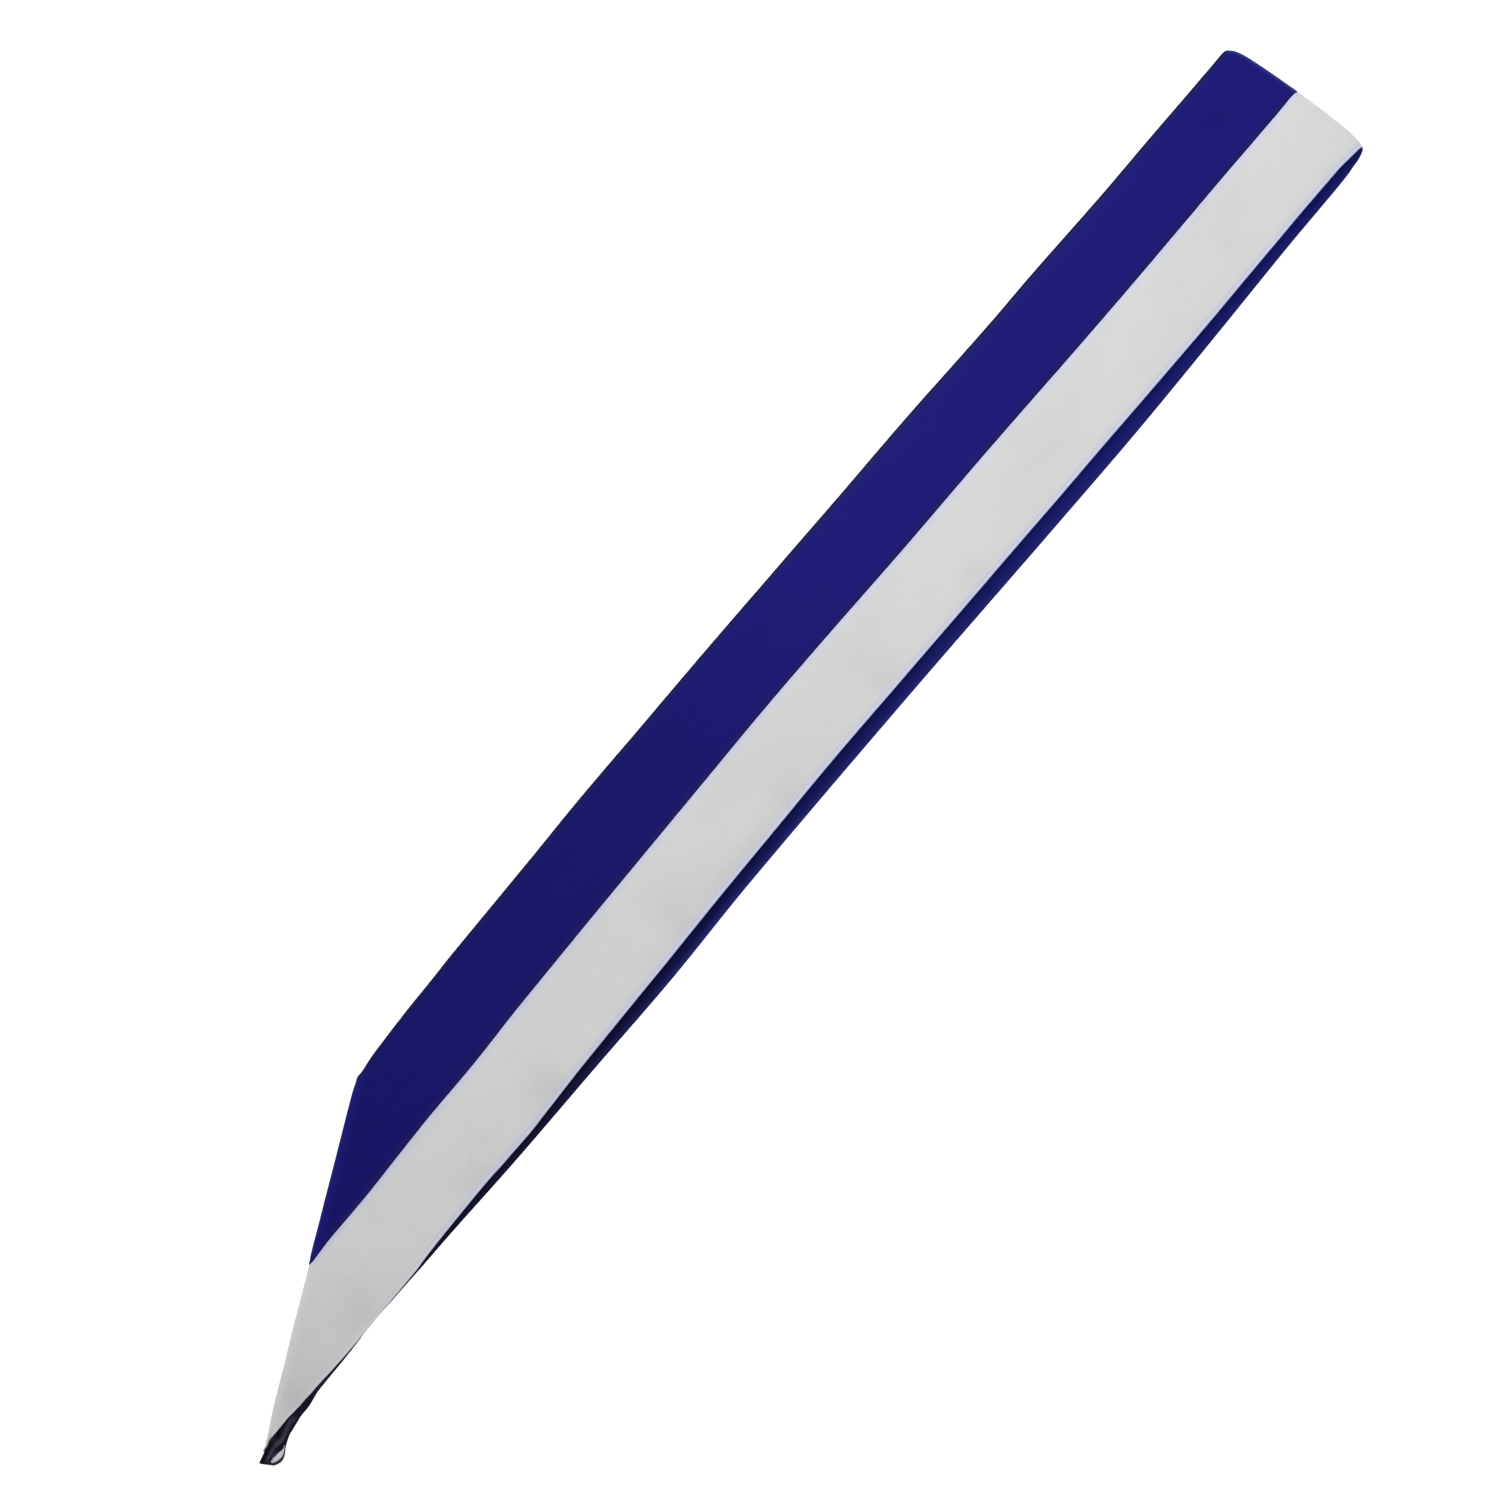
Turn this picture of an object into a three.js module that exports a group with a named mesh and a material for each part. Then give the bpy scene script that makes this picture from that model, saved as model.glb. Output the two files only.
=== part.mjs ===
// A ceremonial shoulder sash, laid flat as a closed loop.
//
// All sizes are in millimetres. X runs across the band, with blue on the left and white on the
// right. Y runs along the band towards the shoulder fold. Z is up from the table.
//
// The sash is one band. Two ribbons lie edge to edge on its face and a lining covers its inside.
// The band runs up the front layer, over the shoulder fold and back down the layer underneath.
// It closes on itself at a slanted join, which gives the point at the lower end.
import * as THREE from "three";

// The band's cloth
const RIBBON_WIDTH = 49.7;
const RIBBON_THICKNESS = 1;
const LINING_THICKNESS = 1;
const SEWN_GAP = 0.3;

// The slanted join, as seen from above
const JOIN_ANGLE_DEG = 27.5;
const JOIN_MIDDLE_Y = -400.6;
const JOIN_TURN_RADIUS = 1.9;
const JOIN_CORNER_ROUNDING = 1;
const JOIN_CORNER_REACH = 4;
const JOIN_SETTLES_AT = 0.6;
const JOIN_TIP_REACH = 2.5;
const JOIN_TIP_FROM = 42;

// The shoulder fold's half height, to the surface between the ribbons and the lining
const FOLD_RADIUS = 7.3;

// The shoulder fold's end at places across the band
const FOLD_END = [
  { across: -50, y: 494.2 },
  { across: -45, y: 495.6 },
  { across: -38, y: 496.1 },
  { across: -20, y: 496.1 },
  { across: 0, y: 495.7 },
  { across: 15, y: 495.1 },
  { across: 27, y: 494.2 },
  { across: 36, y: 493.4 },
  { across: 43, y: 492.2 },
  { across: 50, y: 490.4 },
];

// Where the middle seam of the front layer lies
const FRONT_SEAM = [
  { y: -497, x: 0.9 },
  { y: -477, x: 0.6 },
  { y: -440, x: -0.4 },
  { y: -400, x: -1.4 },
  { y: -345, x: -1.6 },
  { y: -281, x: -3.1 },
  { y: -214, x: -4.6 },
  { y: -112, x: -6.1 },
  { y: -8, x: -7.5 },
  { y: 62, x: -7.1 },
  { y: 132, x: -6.1 },
  { y: 204, x: -5.5 },
  { y: 348, x: -3.5 },
  { y: 421, x: -3.3 },
  { y: 472, x: -2.7 },
  { y: 485, x: -1.6 },
];

// Where the middle seam of the back layer lies
const BACK_SEAM = [
  { y: -497, x: 0.9 },
  { y: -477, x: 0.4 },
  { y: -400, x: -1.5 },
  { y: -345, x: -1.5 },
  { y: -279, x: 0.2 },
  { y: -213, x: 0.8 },
  { y: -145, x: 1.6 },
  { y: -77, x: 0.3 },
  { y: 61, x: 0.8 },
  { y: 201, x: 2.7 },
  { y: 272, x: 3.3 },
  { y: 344, x: 2.5 },
  { y: 417, x: 1.3 },
  { y: 472, x: 1.1 },
  { y: 484, x: 0.2 },
];

// How high the front layer lies above the back layer, by distance from the shoulder fold
const FRONT_RISE = [
  { back: 0, rise: 14.6 },
  { back: 25, rise: 14.5 },
  { back: 70, rise: 13.0 },
  { back: 130, rise: 11.2 },
  { back: 220, rise: 9.7 },
  { back: 340, rise: 8.7 },
  { back: 500, rise: 7.9 },
  { back: 660, rise: 7.2 },
  { back: 1000, rise: 6.0 },
];
const JOIN_RISE_REACH = 150;

// Shallow dents in the front layer, each round
const DENTS = [
  { x: -26, y: 447, depth: 0.8, reach: 20 },
  { x: 24, y: 406, depth: 1.4, reach: 24 },
  { x: 34, y: 225, depth: 1.3, reach: 22 },
  { x: 27, y: 65, depth: 1.1, reach: 22 },
  { x: 23, y: -29, depth: 0.9, reach: 20 },
  { x: -30, y: -65, depth: 0.8, reach: 24 },
  { x: 28, y: -120, depth: 1.3, reach: 22 },
  { x: 39, y: -295, depth: 1.4, reach: 18 },
  { x: 6, y: -352, depth: 0.8, reach: 18 },
  { x: 30, y: -397, depth: 0.7, reach: 18 },
];

// The long slack waves of the front layer
const WAVE_HEIGHT = 0.45;
const WAVE_LENGTH = 168;
const WAVE_SLANT = 0.5;
const WAVE_FADE = 70;

// The open point: how the right-hand edges part, by distance from the end of the join
const POINT_EDGES = [
  { along: 0, frontIn: 0, frontUp: 0, backOut: 0, backUp: 0 },
  { along: 2, frontIn: 0.5, frontUp: 0.2, backOut: 3.0, backUp: 0.4 },
  { along: 5, frontIn: 1.2, frontUp: 0.5, backOut: 6.3, backUp: 1.6 },
  { along: 9, frontIn: 2.0, frontUp: 0.9, backOut: 8.0, backUp: 3.0 },
  { along: 14, frontIn: 2.7, frontUp: 1.2, backOut: 7.4, backUp: 3.2 },
  { along: 19, frontIn: 3.2, frontUp: 1.3, backOut: 4.2, backUp: 2.2 },
  { along: 25, frontIn: 3.6, frontUp: 1.3, backOut: 1.8, backUp: 1.2 },
  { along: 34, frontIn: 3.7, frontUp: 1.0, backOut: 1.0, backUp: 0.4 },
  { along: 48, frontIn: 2.4, frontUp: 0.5, backOut: 0.4, backUp: 0 },
  { along: 72, frontIn: 0, frontUp: 0, backOut: 0, backUp: 0 },
];
const POINT_FRONT_FROM = 26;
const POINT_BACK_FROM = 39;

// The places across the band where the cloth has a line of points
const ACROSS = [-49.7, -44, -32, -16, 0, 15, 28, 37, 44, 49.7];

// The four sections of the loop, in order, and how many rows of points each one has.
// The crowding sets how much closer together a layer's rows are near the join.
const LOOP = [
  { section: "join turn", rows: 8, crowding: 1 },
  { section: "front layer", rows: 44, crowding: 1.3 },
  { section: "shoulder fold", rows: 11, crowding: 1 },
  { section: "back layer", rows: 27, crowding: 1.8 },
];

// Colours and surfaces
const BLUE_SATIN = { color: "#221e76", roughness: 0.55, metalness: 0 };
const WHITE_SATIN = { color: "#dededd", roughness: 0.6, metalness: 0 };
const NAVY_LINING = { color: "#191d5c", roughness: 0.5, metalness: 0 };

const JOIN_SINE = Math.sin(THREE.MathUtils.degToRad(JOIN_ANGLE_DEG));
const JOIN_SLOPE = 1 / Math.tan(THREE.MathUtils.degToRad(JOIN_ANGLE_DEG));
const FACE_OFFSET = SEWN_GAP / 2 + RIBBON_THICKNESS;
const BACK_HEIGHT = FACE_OFFSET;

// A value between rows of a table, eased so that the rows don't show as corners
function tableValue(table, by, name, at) {
  const last = table.length - 1;
  if (at <= table[0][by]) return table[0][name];
  if (at >= table[last][by]) return table[last][name];
  let row = 0;
  while (table[row + 1][by] < at) row += 1;
  const from = table[row];
  const to = table[row + 1];
  const span = to[by] - from[by];
  const part = (at - from[by]) / span;
  const slopeFrom = tableSlope(table, by, name, row) * span;
  const slopeTo = tableSlope(table, by, name, row + 1) * span;
  const p2 = part * part;
  const p3 = p2 * part;
  return (
    from[name] * (2 * p3 - 3 * p2 + 1) +
    slopeFrom * (p3 - 2 * p2 + part) +
    to[name] * (3 * p2 - 2 * p3) +
    slopeTo * (p3 - p2)
  );
}

// The slope of a table's curve at one row
function tableSlope(table, by, name, row) {
  const before = table[Math.max(row - 1, 0)];
  const after = table[Math.min(row + 1, table.length - 1)];
  return (after[name] - before[name]) / (after[by] - before[by]);
}

function ease(from, to, value) {
  return THREE.MathUtils.smoothstep(value, from, to);
}

function mix(from, to, part) {
  return from + (to - from) * part;
}

// The outer end of the join at a place across the band
function joinEnd(across) {
  const fromCorner = (across + RIBBON_WIDTH) / JOIN_CORNER_REACH;
  const rounding = JOIN_CORNER_ROUNDING * Math.exp(-fromCorner);
  const tip = JOIN_TIP_REACH * pointShare(across, JOIN_TIP_FROM);
  return JOIN_MIDDLE_Y - JOIN_SLOPE * across + rounding - tip;
}

function joinCentre(across) {
  return joinEnd(across) + (JOIN_TURN_RADIUS + FACE_OFFSET) / JOIN_SINE;
}

function foldCentre(across) {
  return tableValue(FOLD_END, "across", "y", across) - FOLD_RADIUS - FACE_OFFSET;
}

// How far the slack in the front layer lifts or dents it at a point
function frontSlack(x, y, fromJoin, fromFold) {
  const fade = ease(0, WAVE_FADE, fromJoin) * ease(0, WAVE_FADE, fromFold);
  const wave = WAVE_HEIGHT * Math.sin((2 * Math.PI * (y + WAVE_SLANT * x)) / WAVE_LENGTH);
  let dents = 0;
  for (const dent of DENTS) {
    const away = Math.hypot(x - dent.x, y - dent.y) / dent.reach;
    dents += dent.depth * Math.exp(-away * away);
  }
  return wave * fade - dents * ease(0, WAVE_FADE / 2, fromFold) * ease(0, WAVE_FADE / 2, fromJoin);
}

// The height of the front layer above the back one
function frontRise(across, y) {
  const fromFold = Math.max(foldCentre(across) - y, 0);
  const fromJoin = Math.max(y - joinCentre(across), 0);
  const run = tableValue(FRONT_RISE, "back", "rise", fromFold);
  const open = ease(-JOIN_RISE_REACH, JOIN_RISE_REACH, fromJoin) * 2 - 1;
  const x = across + tableValue(FRONT_SEAM, "y", "x", y);
  return mix(2 * JOIN_TURN_RADIUS, run, open) + frontSlack(x, y, fromJoin, fromFold);
}

// How strongly a place across the band takes part in the open point
function pointShare(across, from) {
  const part = Math.max(across - from, 0) / (RIBBON_WIDTH - from);
  return part * part;
}

function frontLayerPoint(across, y) {
  const along = y - joinEnd(across);
  const share = pointShare(across, POINT_FRONT_FROM);
  const x = across + tableValue(FRONT_SEAM, "y", "x", y);
  const inward = share * tableValue(POINT_EDGES, "along", "frontIn", along);
  const up = share * tableValue(POINT_EDGES, "along", "frontUp", along);
  return new THREE.Vector3(x - inward, y, BACK_HEIGHT + frontRise(across, y) + up);
}

function backLayerPoint(across, y) {
  const along = y - joinEnd(across);
  const share = pointShare(across, POINT_BACK_FROM);
  const x = across + tableValue(BACK_SEAM, "y", "x", y);
  const outward = share * tableValue(POINT_EDGES, "along", "backOut", along);
  const up = share * share * Math.max(tableValue(POINT_EDGES, "along", "backUp", along), 0);
  return new THREE.Vector3(x + outward, y, BACK_HEIGHT + up);
}

// A turn from one layer to the other, along a half circle in the loop's own plane
function turnPoint(from, to, reach, part) {
  const point = from.clone().lerp(to, 0.5 - 0.5 * Math.cos(part * Math.PI));
  point.y += reach * Math.sin(part * Math.PI);
  return point;
}

// The turn at the join, where the point across settles early so that the tip stays sharp
function joinTurnPoint(across, part) {
  const low = joinCentre(across);
  const back = backLayerPoint(across, low);
  const front = frontLayerPoint(across, low);
  const point = turnPoint(back, front, -JOIN_TURN_RADIUS / JOIN_SINE, part);
  point.x = mix(back.x, front.x, ease(0, JOIN_SETTLES_AT, part));
  return point;
}

// A point on the surface between the ribbons and the lining; place is the section and the part
function loopPoint(across, place) {
  const total = LOOP.length;
  const wrapped = ((place % total) + total) % total;
  const section = Math.floor(wrapped);
  const part = wrapped - section;
  const low = joinCentre(across);
  const high = foldCentre(across);
  if (section === 0) return joinTurnPoint(across, part);
  if (section === 1) return frontLayerPoint(across, mix(low, high, part));
  if (section === 3) return backLayerPoint(across, mix(high, low, part));
  return turnPoint(frontLayerPoint(across, high), backLayerPoint(across, high), FOLD_RADIUS, part);
}

// The direction in which the band's face looks at a point of the loop
function faceNormal(across, place) {
  const side = 0.5;
  const step = 0.01;
  const left = loopPoint(across - side, place);
  const right = loopPoint(across + side, place);
  const before = loopPoint(across, place - step);
  const after = loopPoint(across, place + step);
  return right.sub(left).cross(after.sub(before)).normalize();
}

// The places of all rows round the loop; the back layer ends at the join, so it counts back
function loopRows() {
  const places = [];
  LOOP.forEach((part, section) => {
    for (let row = 0; row < part.rows; row += 1) {
      const even = row / part.rows;
      const fromJoin = section === 3 ? 1 - even : even;
      const crowded = fromJoin ** part.crowding;
      places.push(section + (section === 3 ? 1 - crowded : crowded));
    }
  });
  return places;
}

// One closed ring of cloth between two offsets from the middle surface
function clothRing(columns, inner, outer) {
  const rows = loopRows();
  const points = [];
  for (const offset of [outer, inner]) {
    for (const across of columns) {
      for (const place of rows) {
        const normal = faceNormal(across, place);
        points.push(...loopPoint(across, place).addScaledVector(normal, offset));
      }
    }
  }
  const layer = columns.length * rows.length;
  const at = (side, column, row) => side * layer + column * rows.length + (row % rows.length);
  const faces = [];
  const quad = (a, b, c, d) => faces.push(a, b, c, a, c, d);
  for (let row = 0; row < rows.length; row += 1) {
    for (let column = 0; column + 1 < columns.length; column += 1) {
      const next = column + 1;
      quad(at(0, column, row), at(0, next, row), at(0, next, row + 1), at(0, column, row + 1));
      quad(at(1, column, row), at(1, column, row + 1), at(1, next, row + 1), at(1, next, row));
    }
    const last = columns.length - 1;
    quad(at(0, 0, row), at(0, 0, row + 1), at(1, 0, row + 1), at(1, 0, row));
    quad(at(0, last, row), at(1, last, row), at(1, last, row + 1), at(0, last, row + 1));
  }
  const geometry = new THREE.BufferGeometry();
  geometry.setAttribute("position", new THREE.Float32BufferAttribute(points, 3));
  geometry.setIndex(faces);
  geometry.computeVertexNormals();
  return geometry;
}

function piece(name, geometry, surface) {
  const mesh = new THREE.Mesh(geometry, new THREE.MeshStandardMaterial(surface));
  mesh.name = name;
  return mesh;
}

// The lines of points of each ribbon; the two ribbons stop just short of the middle seam
function ribbonColumns(side) {
  const own = ACROSS.filter((across) => across * side > 0);
  const seam = (side * SEWN_GAP) / 2;
  return side < 0 ? [...own, seam] : [seam, ...own];
}

// Puts the origin on the table under the middle of the sash
function centreOnTable(group) {
  const box = new THREE.Box3().setFromObject(group);
  const middle = box.getCenter(new THREE.Vector3());
  for (const mesh of group.children) mesh.geometry.translate(-middle.x, -middle.y, -box.min.z);
}

const ribbonInner = SEWN_GAP / 2;
const liningOuter = -SEWN_GAP / 2;
const liningInner = liningOuter - LINING_THICKNESS;

const sash = new THREE.Group();
sash.name = "ceremonial_sash";
sash.add(piece("blue_ribbon", clothRing(ribbonColumns(-1), ribbonInner, FACE_OFFSET), BLUE_SATIN));
sash.add(piece("white_ribbon", clothRing(ribbonColumns(1), ribbonInner, FACE_OFFSET), WHITE_SATIN));
sash.add(piece("lining", clothRing(ACROSS, liningInner, liningOuter), NAVY_LINING));

centreOnTable(sash);

export default sash;
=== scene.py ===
import math

import bpy
import numpy as np
from mathutils import Matrix, Vector


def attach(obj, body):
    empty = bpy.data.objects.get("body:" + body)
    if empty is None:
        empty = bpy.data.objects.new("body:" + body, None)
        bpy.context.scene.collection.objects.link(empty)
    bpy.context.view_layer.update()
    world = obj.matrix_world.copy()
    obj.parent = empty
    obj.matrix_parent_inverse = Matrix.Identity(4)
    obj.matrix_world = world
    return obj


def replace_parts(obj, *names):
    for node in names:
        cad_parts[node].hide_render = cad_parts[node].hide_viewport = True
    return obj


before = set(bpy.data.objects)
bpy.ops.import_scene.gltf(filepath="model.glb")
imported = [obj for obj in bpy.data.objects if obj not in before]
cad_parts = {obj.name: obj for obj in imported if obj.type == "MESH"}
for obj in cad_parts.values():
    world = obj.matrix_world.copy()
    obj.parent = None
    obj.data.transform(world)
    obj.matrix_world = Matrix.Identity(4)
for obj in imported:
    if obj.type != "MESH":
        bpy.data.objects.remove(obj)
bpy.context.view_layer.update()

MIDDLE = np.array([0.8914, -0.1538, 0.0])
MM = 0.001

# ---------------------------------------------------------------- the band's middle surface
# Each ribbon's width, and how far the band's outer face lies from its middle surface
WIDTH = 49.7
FACE = 1.15
# A place round the loop runs from 0 to ROUND, and the shoulder fold's apex is at APEX
ROUND = 4
APEX = 2.5
# The slanted join at the lower end: its slant, where it crosses the middle, and its turn
JOIN_ANGLE = math.radians(27.5)
JOIN_SINE = math.sin(JOIN_ANGLE)
JOIN_SLOPE = 1 / math.tan(JOIN_ANGLE)
JOIN_MIDDLE_Y = -400.6
JOIN_RADIUS = 1.9
# The share of that turn in which the cloth gets from the back layer's x to the front layer's
JOIN_SETTLES_AT = 0.6
# How far the left corner and the tip reach beyond the straight line, and over which places
JOIN_CORNER_DROP = 3.6
JOIN_CORNER_REACH = 25.0
JOIN_TIP_REACH = 1.9
JOIN_TIP_FROM = 42.0
# How far from the join the front layer has risen to its own height
JOIN_RISE_REACH = 150.0
# How the end of the middle seam is pulled aside at the join
SEAM_END_SHIFT = 1.05
SEAM_END_WIDTH = 10.0
SEAM_END_LENGTH = 24.0
FOLD_RADIUS = 7.3
# Where across the band the open point starts in each layer
POINT_FRONT_FROM = 26.0
POINT_BACK_FROM = 39.0
# The front layer's slack, a long low wave
WAVE_HEIGHT = 0.45
WAVE_LENGTH = 168.0
WAVE_SLANT = 0.5
WAVE_FADE = 70.0

# How far the slanted edge strays from its straight line: place across the band, distance along it
JOIN_STRAY = [
    (-50, 1.2), (-48.5, 0.4), (-46, 0), (-44, -0.1), (-39, -0.3), (-34, -0.45), (-29, -0.6),
    (-18, -0.7), (-13, -0.75), (-9, -1.0), (-6, -1.6), (-3, -1.8), (0, -1.6), (3, -0.85),
    (6, -0.75), (10, -0.5), (14, -0.6), (19, -0.8), (24, -0.85), (28, -1.05), (31, -1.3),
    (34, -1.4), (37, -1.3), (40, -0.8), (43, 0.1), (45, 0.2), (46.5, -0.1), (48.3, -1.2),
    (50, -0.7),
]
# The shoulder fold's end: place across the band, y
FOLD_END = [
    (-50, 493.4), (-45, 495.2), (-38, 496.0), (-20, 496.1), (0, 495.7),
    (15, 495.1), (27, 494.2), (36, 493.4), (43, 492.2), (50, 490.4),
]
# Where the middle seam lies in each layer: y, x
FRONT_SEAM = [
    (-497, 0.9), (-477, 0.6), (-440, -0.4), (-400, -1.4), (-345, -1.6), (-296, -2.8),
    (-281, -2.9), (-262, -2.9), (-246, -3.3), (-214, -4.6), (-112, -6.1), (-8, -7.5),
    (62, -7.1), (132, -6.1), (204, -5.5), (348, -3.5), (421, -3.3), (472, -2.7),
    (485, -2.9),
]
BACK_SEAM = [
    (-497, 1.15), (-477, 0.65), (-400, -1.25), (-345, -1.25), (-279, 0.45), (-213, 1.05),
    (-145, 1.85), (-77, 0.5), (61, 1.05), (201, 3.0), (272, 3.65), (344, 2.85),
    (417, 1.5), (472, 1.25), (484, 0.3),
]
# How high the front layer lies above the back one: distance from the fold, rise
FRONT_RISE = [
    (0, 14.6), (25, 14.5), (70, 13.0), (130, 11.2), (220, 9.7), (340, 8.7),
    (500, 7.9), (660, 7.2), (1000, 6.0),
]
# How much wider than its cut the front layer lies on its left and on its right: y, width
LEFT_EXTRA = [
    (-308, -1.9), (-304, -1.75), (-300, -1.4), (-293, -0.6), (-286, 0), (-279, 0.3),
    (-272, 0.7), (-265, 0.95), (-258, 1.15), (-250, 1.15), (-230, 0.8), (-145, 0.65),
    (-111, 0.95), (-77, 0.75), (-43, 0.3), (61, 0), (95, 0.3), (130, 0.65), (166, 0.95),
    (201, 0.85), (237, 0.4), (272, 0.35), (308, 0.95), (344, 0.65), (380, 0), (417, -0.1),
    (453, 0), (472, 0.1), (487, 0),
]
RIGHT_EXTRA = [
    (-361, 0), (-345, -0.8), (-312, -0.7), (-296, -0.5), (-287, 0), (-279, 0.15),
    (-263, 0.45), (-246, 0.25), (-212, 0.4), (-145, 0.4), (-111, 0), (-77, 0), (-43, 0.2),
    (26, 0.3), (130, 0.1), (201, 0.4), (237, 0.1), (344, 0.1), (380, -0.1), (468, -0.1),
    (475, 0.5), (481, 1.2), (487, 2.3),
]
# Shallow dents in the front layer: x, y, depth, reach
DENTS = [
    (-26, 447, 0.8, 20), (24, 406, 1.4, 24), (34, 225, 1.3, 22), (27, 65, 1.1, 22),
    (23, -29, 0.9, 20), (-30, -65, 0.8, 24), (28, -120, 1.3, 22), (39, -295, 1.4, 18),
    (6, -352, 0.8, 18), (30, -397, 0.7, 18),
]
# Painted shade in the dents and soft folds of the front layer, as faint darker places: x, y,
# darkness, reach across, reach along
PAINTED_DENT_SHADES = [
    (-26, 452, 0.7, 12, 15), (31, 394, 0.45, 12, 12), (35, 147, 0.4, 10, 10),
    (35, 65, 0.85, 10, 12), (40, -25, 0.9, 17, 16), (41, -55, 0.8, 10, 18),
    (41, -88, 0.6, 9, 18), (33, -117, 0.5, 20, 9), (38, -123, 0.55, 8, 10),
    (40, -145, 0.5, 11, 12), (39, -178, 0.25, 6, 7), (38, -237, 0.95, 16, 13),
    (43, -297, 0.9, 6, 7), (38, -306, 0.6, 12, 9), (10, -356, 0.45, 7, 8),
    (37, -399, 0.95, 12, 14), (42, -456, 0.7, 8, 9),
]
# The open point, by distance from the end of the join: how far the front layer's edge is drawn
# in and lifted there, and how far the back layer's edge spreads out and is lifted
POINT_FRONT_IN = [
    (0, -1.0), (3, -0.5), (6, 0.4), (9, 1.6), (12, 2.6), (16, 3.4), (20, 3.75), (28, 3.75),
    (32, 3.7), (37, 3.1), (41, 2.8), (46, 2.6), (50, 2.25), (55, 2.1), (60, 1.75), (67, 1.2),
    (76, 0.65), (85, 0.3), (93, 0.1), (101, 0.1), (108, 0.15), (116, 0), (126, 0),
    (140, 0),
]
POINT_FRONT_UP = [
    (0, 0), (2, 0.2), (5, 0.5), (9, 0.9), (14, 1.2), (19, 1.3), (25, 1.3), (34, 1.0),
    (48, 0.5), (72, 0),
]
POINT_BACK_OUT = [
    (0, 0.6), (2.5, 2.6), (5, 4.6), (6.6, 6.0), (8, 7.1), (10.6, 8.2), (12.7, 8.5),
    (15.5, 7.4), (18.5, 5.0), (21.3, 3.4), (24.4, 2.2), (28, 1.6), (32, 1.0), (36, 0.45),
    (40, 0.55), (44, 0.35), (47.6, -0.25), (51, -0.75), (56, -0.8), (64, -0.7), (72, -0.55),
    (80, -0.6), (88, -0.8), (95, -1.3), (101, -1.2), (108, -1.0), (115, -0.6), (124, -0.4),
    (140, 0),
]
POINT_BACK_UP = [
    (0, 0), (2, 0.4), (5, 1.6), (9, 3.0), (14, 3.2), (19, 2.2), (25, 1.2), (34, 0.4),
    (48, 0), (72, 0),
]
# Marks on the lining in the open point, as places across and round the loop: a ridge, light with
# a painted highlight, and the crease beside the turned hem, dark with painted shade
TIP_RIDGE = [
    (47.3, 3.980), (45.3, 3.987), (46.0, 3.992), (46.4, 3.995), (46.4, 3.998), (46.7, 4.031),
    (47.6, 4.104), (48.5, 4.164),
]
TIP_CREASE = [
    (49.6, 3.986), (47.5, 3.994), (47.2, 3.998), (47.5, 4.000), (48.1, 4.053), (48.8, 4.121),
]
# The white hem that is turned over onto the lining there: its two sides
TURNED_INSIDE = [
    (48.7, 3.9897), (48.2, 3.993), (48.0, 3.996), (48.15, 3.998), (48.4, 4.000), (48.85, 4.045),
    (49.1, 4.06),
]
TURNED_OUTSIDE = [
    (48.75, 3.9893), (49.1, 3.9908), (49.2, 3.992), (49.2, 3.995), (49.25, 3.9975),
    (49.3, 4.004), (49.2, 4.055),
]
# Puckers along the sewn lines: length, phase, share
PUCKERS = [(11.0, 0.0, 0.5), (17.5, 1.3, 0.35), (29.0, 2.1, 0.3)]
PUCKER_HEIGHT = 0.07
PUCKER_REACH = 3.5
PUCKER_SLANT = 0.04
PUCKER_FADE = 20.0
# The steps over which a direction on the surface is measured: across, and round the loop
SIDE_STEP = 0.25
PLACE_STEP = 0.002


def table_value(table, at):
    """The value between rows of a table, on an eased curve."""
    keys, values = np.array(table, float).T
    count = len(keys)
    before = np.maximum(np.arange(count) - 1, 0)
    after = np.minimum(np.arange(count) + 1, count - 1)
    slope = (values[after] - values[before]) / (keys[after] - keys[before])
    at = np.clip(at, keys[0], keys[-1])
    row = np.clip(np.searchsorted(keys, at) - 1, 0, count - 2)
    span = keys[row + 1] - keys[row]
    t = (at - keys[row]) / span
    t2, t3 = t * t, t * t * t
    return (
        values[row] * (2 * t3 - 3 * t2 + 1)
        + slope[row] * span * (t3 - 2 * t2 + t)
        + values[row + 1] * (3 * t2 - 2 * t3)
        + slope[row + 1] * span * (t3 - t2)
    )


def ease(low, high, value):
    t = np.clip((value - low) / (high - low), 0, 1)
    return t * t * (3 - 2 * t)


def mix(a, b, part):
    return a + (b - a) * part


def point_share(across, start):
    """Nothing up to a place across the band, rising to one at its right edge."""
    return (np.maximum(across - start, 0) / (WIDTH - start)) ** 2


def join_end(across):
    """Where the slanted join ends the sash, as y."""
    corner = JOIN_CORNER_DROP * np.exp(-(across + WIDTH) / JOIN_CORNER_REACH)
    tip = JOIN_TIP_REACH * point_share(across, JOIN_TIP_FROM)
    return JOIN_MIDDLE_Y - JOIN_SLOPE * across - corner - tip + table_value(JOIN_STRAY, across)


def join_centre(across):
    return join_end(across) + (JOIN_RADIUS + FACE) / JOIN_SINE


def fold_centre(across):
    return table_value(FOLD_END, across) - FOLD_RADIUS - FACE


def puckers(across, y):
    """Small gathers that the stitching draws into the cloth beside the seam and the edges."""
    near = np.exp(-np.minimum(np.abs(across), WIDTH - np.abs(across)) / PUCKER_REACH)
    wave = 0
    for length, phase, part in PUCKERS:
        wave = wave + part * np.sin(2 * np.pi * y / length + phase + PUCKER_SLANT * across)
    return PUCKER_HEIGHT * near * wave


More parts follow.
